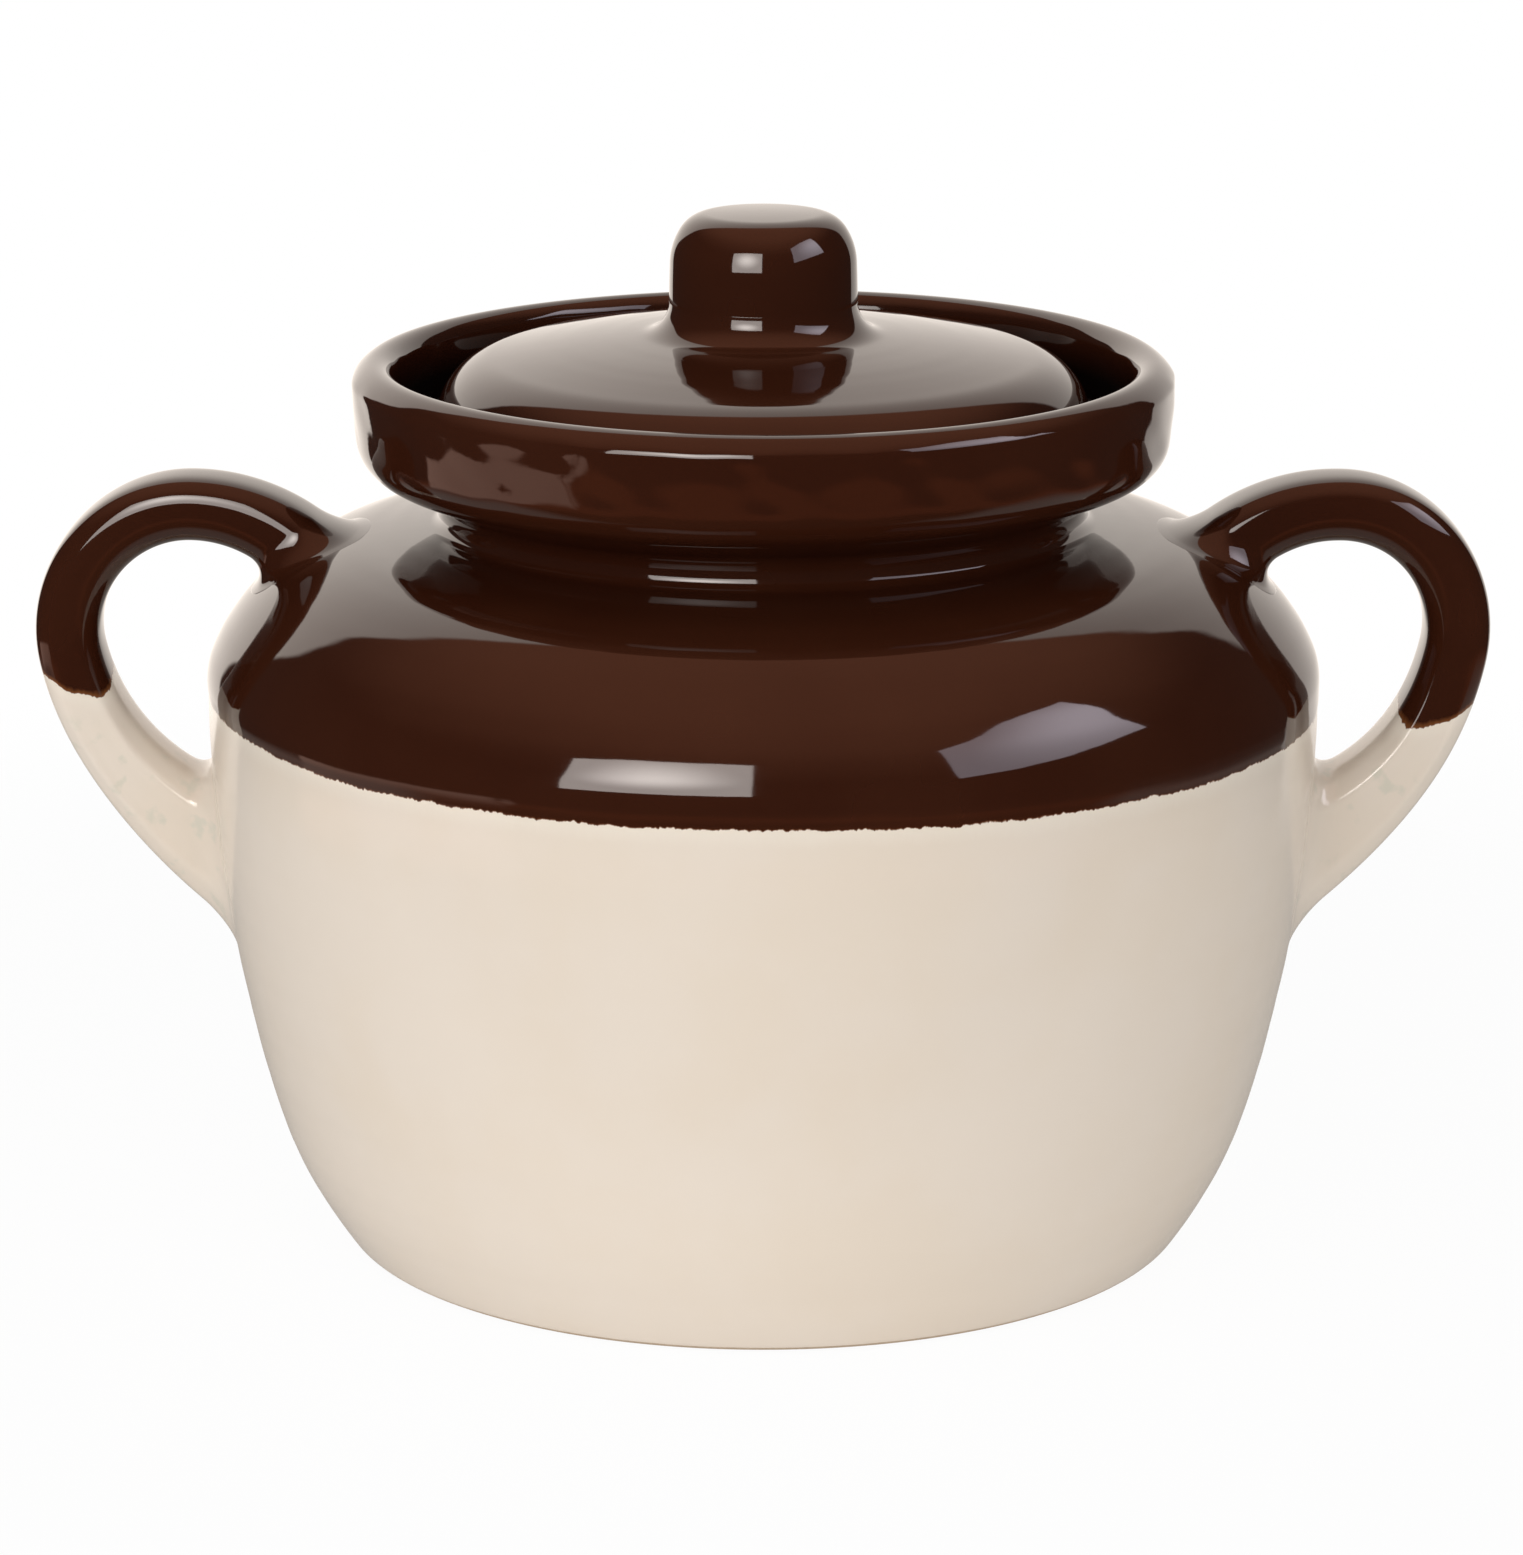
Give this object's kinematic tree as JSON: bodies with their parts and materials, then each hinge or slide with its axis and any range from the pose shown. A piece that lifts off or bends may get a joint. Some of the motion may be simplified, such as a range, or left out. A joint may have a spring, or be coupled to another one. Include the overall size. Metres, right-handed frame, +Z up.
{
  "type": "stoneware bean pot",
  "caption": "Round-bellied stoneware bean pot with collared neck, loop handles luted to shoulder and belly, and a loose inset domed lid with a turned knob.",
  "frame": {"origin": "centre of the foot, on the surface that the pot stands on", "axes": "+Z up along the axis of the pot and its lid, +X towards handle_right, -Y towards the front"},
  "size_m": [0.2306, 0.176, 0.1643],
  "materials": {
    "pot_glaze": "cream glaze below, glossy dark brown dipped glaze from the shoulder up",
    "handle_glaze": "glossy dark brown dipped glaze over the upper loop, cream glaze on the lower arm",
    "lid_glaze": "glossy dark brown glaze, bare clay on the seat"
  },
  "bodies": {
    "pot": {"pot_body": "pot_glaze", "handle_left": "handle_glaze", "handle_right": "handle_glaze"},
    "lid_set": {"lid": "lid_glaze", "lid_knob": "lid_glaze"}
  },
  "joints": [
    {"name": "lid_lift", "type": "slide", "parent": "pot", "child": "lid_set", "axis": [0, 0, 1], "range_m": [0, 0.12]}
  ]
}
